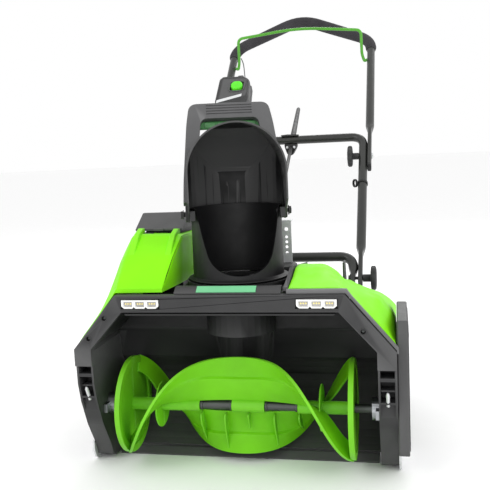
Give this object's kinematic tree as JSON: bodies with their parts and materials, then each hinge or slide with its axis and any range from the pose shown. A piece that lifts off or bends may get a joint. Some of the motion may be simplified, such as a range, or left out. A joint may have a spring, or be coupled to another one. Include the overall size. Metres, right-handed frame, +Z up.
{
  "type": "cordless snow thrower",
  "caption": "Cordless single-stage snow thrower: green winged auger in a wide grey intake, swivelling chute with tilting hood, folding tube handle with bail and switch box.",
  "frame": {"origin": "on the ground below the chute's turning axis, on the underside of the scraper bar", "axes": "-Y out of the intake, +Y back along the handle, +X to the right as seen from the front, +Z up"},
  "size_m": [0.5984, 1.3691, 1.0164],
  "materials": {
    "lime": "satin moulded lime plastic",
    "auger_green": "moulded bright green plastic",
    "bail_green": "green coated wire",
    "grey_plastic": "textured dark grey plastic",
    "black_plastic": "matt black plastic",
    "gloss_black": "smooth black plastic",
    "badge_green": "satin pale green plate",
    "mid_grey": "matt mid grey plastic",
    "foam": "closed-cell foam",
    "tube_paint": "dark satin powder coat",
    "zinc": "zinc plate",
    "steel": "machined steel",
    "tyre": "moulded rubber tyre on a plastic hub",
    "lamp": "white reflector cells"
  },
  "bodies": {
    "base": {"front_bezel": "grey_plastic", "side_plate_left": "grey_plastic", "side_plate_right": "grey_plastic", "auger_housing": "black_plastic", "scraper_bar": "black_plastic", "skid_left": "zinc", "skid_right": "zinc", "lamp_left": "lamp", "lamp_right": "lamp", "deck_panel": "black_plastic", "badge_plate": "badge_green", "right_cover": "lime", "left_cover": "lime", "edge_trim": "mid_grey", "cheek_right": "grey_plastic", "battery_tray": "black_plastic", "battery_pack": "grey_plastic", "rear_base": "black_plastic", "drive_motor": "steel", "wheel_axle": "steel", "drive_belt": "tyre", "drive_cover": "grey_plastic", "bearing_left": "steel", "bearing_right": "steel", "crank_plate": "zinc", "lower_frame": "tube_paint", "mid_handle": "tube_paint", "fold_bolt_left": "zinc", "fold_bolt_right": "zinc", "rod_bracket": "black_plastic", "cable_clip": "black_plastic"},
    "auger": {"auger_shaft": "steel", "auger_pulley": "steel", "paddle_front": "auger_green", "paddle_rear": "auger_green"},
    "motor_rotor": {"motor_pulley": "steel"},
    "wheel_left_body": {"wheel_left": "tyre"},
    "wheel_right_body": {"wheel_right": "tyre"},
    "chute_body": {"chute": "gloss_black", "hinge_bolt_left": "black_plastic", "hinge_bolt_right": "black_plastic"},
    "pinion_body": {"chute_pinion": "steel"},
    "crank_body": {"crank_rod": "steel", "crank_sleeve": "grey_plastic"},
    "deflector": {"deflector_hood": "gloss_black", "deflector_frame": "mid_grey"},
    "trigger": {"deflector_trigger": "lime"},
    "lid": {"battery_lid": "grey_plastic"},
    "upper": {"upper_handle": "tube_paint", "foam_grip": "foam", "switch_base": "black_plastic", "switch_cover": "grey_plastic", "bail_cable": "mid_grey"},
    "bail_body": {"bail": "bail_green"},
    "button": {"start_button": "bail_green"},
    "knob_ll": {"lower_knob_left": "black_plastic"},
    "knob_lr": {"lower_knob_right": "black_plastic"},
    "knob_fl": {"fold_knob_left": "black_plastic"},
    "knob_fr": {"fold_knob_right": "black_plastic"}
  },
  "joints": [
    {"name": "auger_spin", "type": "hinge", "parent": "base", "child": "auger", "pos_m": [0, -0.04, 0.112], "axis": [1, 0, 0], "continuous": true},
    {"name": "motor_spin", "type": "hinge", "parent": "base", "child": "motor_rotor", "pos_m": [0.29, 0.085, 0.205], "axis": [1, 0, 0], "continuous": true},
    {"name": "wheel_left_spin", "type": "hinge", "parent": "base", "child": "wheel_left_body", "pos_m": [-0.218, 0.3, 0.09], "axis": [1, 0, 0], "continuous": true},
    {"name": "wheel_right_spin", "type": "hinge", "parent": "base", "child": "wheel_right_body", "pos_m": [0.218, 0.3, 0.09], "axis": [1, 0, 0], "continuous": true},
    {"name": "chute_rotate", "type": "hinge", "parent": "base", "child": "chute_body", "pos_m": [0, 0, 0.345], "axis": [0, 0, 1], "range_deg": [-106, 74]},
    {"name": "pinion_spin", "type": "hinge", "parent": "base", "child": "pinion_body", "pos_m": [0.04411, 0.12053, 0.34], "axis": [0, 0, 1], "range_deg": [-175, 245]},
    {"name": "crank_spin", "type": "hinge", "parent": "base", "child": "crank_body", "pos_m": [0.04411, 0.12053, 0.393], "axis": [-0.0679, 0.9576, 0.2799], "range_deg": [-175, 245]},
    {"name": "deflector_tilt", "type": "hinge", "parent": "chute_body", "child": "deflector", "pos_m": [0, 0, 0.466], "axis": [0.9613, 0.2756, 0], "range_deg": [0, 55]},
    {"name": "trigger_squeeze", "type": "slide", "parent": "deflector", "child": "trigger", "axis": [0, 0, 1], "range_m": [0, 0.006], "stiffness_N_per_m": 600},
    {"name": "battery_lid_open", "type": "hinge", "parent": "base", "child": "lid", "pos_m": [-0.1585, 0.222, 0.424], "axis": [-1, 0, 0], "range_deg": [0, 95]},
    {"name": "upper_handle_fold", "type": "hinge", "parent": "base", "child": "upper", "pos_m": [0, 0.72131, 0.55307], "axis": [1, 0, 0], "range_deg": [0, 118]},
    {"name": "bail_press", "type": "hinge", "parent": "upper", "child": "bail_body", "pos_m": [0, 1.04475, 0.84544], "axis": [-1, 0, 0], "range_deg": [0, 40], "stiffness_Nm_per_rad": 0.9},
    {"name": "start_press", "type": "slide", "parent": "upper", "child": "button", "axis": [0, 0.6706, -0.7418], "range_m": [0, 0.004], "stiffness_N_per_m": 500},
    {"name": "lower_knob_left_turn", "type": "hinge", "parent": "base", "child": "knob_ll", "pos_m": [-0.22, 0.409, 0.27075], "axis": [1, 0, 0], "continuous": true},
    {"name": "lower_knob_right_turn", "type": "hinge", "parent": "base", "child": "knob_lr", "pos_m": [0.22, 0.409, 0.27075], "axis": [1, 0, 0], "continuous": true},
    {"name": "fold_knob_left_turn", "type": "hinge", "parent": "base", "child": "knob_fl", "pos_m": [-0.18, 0.72131, 0.55307], "axis": [1, 0, 0], "continuous": true},
    {"name": "fold_knob_right_turn", "type": "hinge", "parent": "base", "child": "knob_fr", "pos_m": [0.18, 0.72131, 0.55307], "axis": [1, 0, 0], "continuous": true}
  ],
  "couplings": [
    {"joint": "motor_spin", "follows": "auger_spin", "ratio": 3.2308},
    {"joint": "pinion_spin", "follows": "chute_rotate", "ratio": -2.1667},
    {"joint": "crank_spin", "follows": "chute_rotate", "ratio": -2.1667}
  ]
}
